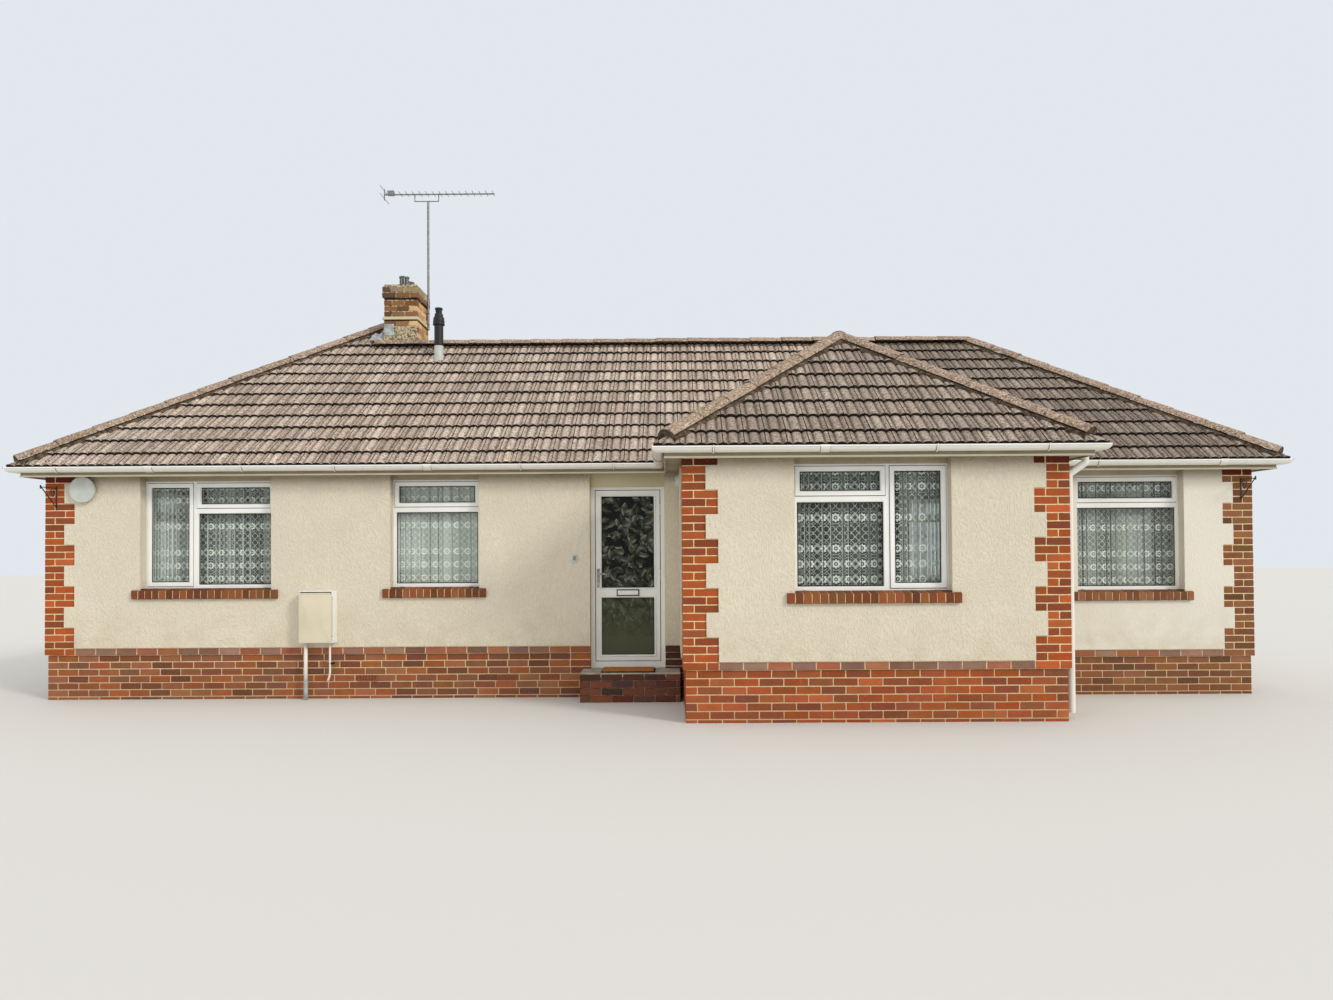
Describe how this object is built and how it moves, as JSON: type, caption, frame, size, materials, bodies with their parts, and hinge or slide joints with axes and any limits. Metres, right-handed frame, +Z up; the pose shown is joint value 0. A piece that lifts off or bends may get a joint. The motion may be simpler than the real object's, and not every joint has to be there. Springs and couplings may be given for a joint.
{
  "type": "bungalow",
  "caption": "Single-storey house with brick plinth and quoins, cream render panels, hipped tiled roofs, a projecting front wing, chimney, hinged front door and meter box.",
  "frame": {"origin": "middle of the overall length and depth, on the level ground under the house", "axes": "+Z up, the front of the house faces -Y, +X to the right seen from the front"},
  "size_m": [13.856, 10.456, 6.77],
  "materials": {
    "front_wall": "matt brick",
    "door_pier": "matt brick",
    "door_head": "matt render",
    "wing_front_wall": "matt brick",
    "wing_side_walls": "matt brick",
    "right_front_wall": "matt brick",
    "right_end_wall": "matt brick",
    "rear_wall": "matt brick",
    "rear_wing_walls": "matt brick",
    "left_end_wall": "matt brick",
    "front_render": "rough cream render",
    "side_and_rear_render": "rough cream render",
    "floor_slab": "matt",
    "ceiling": "matt",
    "main_roof_front": "weathered tile",
    "main_roof_rear": "weathered tile",
    "right_hip_slope": "weathered tile",
    "left_roof_slope": "weathered tile",
    "rear_wing_roof": "weathered tile",
    "wing_roof": "weathered tile",
    "ridge_tiles": "weathered tile",
    "fascia_boards": "satin",
    "soffit_boards": "satin",
    "gutters": "satin",
    "downpipes": "satin",
    "chimney_stack": "matt brick",
    "chimney_pots": "weathered",
    "flue_pipe": "matt black",
    "aerial_mast": "weathered",
    "aerial": "weathered",
    "window_frames": "smooth white",
    "window_glass": "clear",
    "window_sills": "matt brick",
    "net_curtains": "sheer",
    "door_frame": "smooth white",
    "front_door": "smooth white",
    "door_glass": "patterned",
    "door_furniture": "satin",
    "doorstep": "rough concrete",
    "meter_box": "satin",
    "meter_door": "satin",
    "service_pipes": "satin",
    "airbricks": "matt",
    "wall_lamps": "satin",
    "basket_brackets": "satin black"
  },
  "bodies": {
    "house": {"front_wall": "front_wall", "door_pier": "door_pier", "door_head": "door_head", "wing_front_wall": "wing_front_wall", "wing_side_walls": "wing_side_walls", "right_front_wall": "right_front_wall", "right_end_wall": "right_end_wall", "rear_wall": "rear_wall", "rear_wing_walls": "rear_wing_walls", "left_end_wall": "left_end_wall", "front_render": "front_render", "side_and_rear_render": "side_and_rear_render", "floor_slab": "floor_slab", "ceiling": "ceiling", "main_roof_front": "main_roof_front", "main_roof_rear": "main_roof_rear", "right_hip_slope": "right_hip_slope", "left_roof_slope": "left_roof_slope", "rear_wing_roof": "rear_wing_roof", "wing_roof": "wing_roof", "ridge_tiles": "ridge_tiles", "fascia_boards": "fascia_boards", "soffit_boards": "soffit_boards", "gutters": "gutters", "downpipes": "downpipes", "chimney_stack": "chimney_stack", "chimney_pots": "chimney_pots", "flue_pipe": "flue_pipe", "aerial_mast": "aerial_mast", "aerial": "aerial", "window_frames": "window_frames", "window_glass": "window_glass", "window_sills": "window_sills", "net_curtains": "net_curtains", "door_frame": "door_frame", "doorstep": "doorstep", "meter_box": "meter_box", "service_pipes": "service_pipes", "airbricks": "airbricks", "wall_lamps": "wall_lamps", "basket_brackets": "basket_brackets"},
    "door_leaf": {"front_door": "front_door", "door_glass": "door_glass", "door_furniture": "door_furniture"},
    "meter_lid": {"meter_door": "meter_door"}
  },
  "joints": [
    {"name": "front_door_hinge", "type": "hinge", "parent": "house", "child": "door_leaf", "pos_m": [0.146, -3.175, 1.3], "axis": [0, 0, -1], "range_deg": [0, 90]},
    {"name": "meter_door_hinge", "type": "hinge", "parent": "house", "child": "meter_lid", "pos_m": [-3.423, -3.501, 0.9], "axis": [0, 0, 1], "range_deg": [0, 110]}
  ]
}
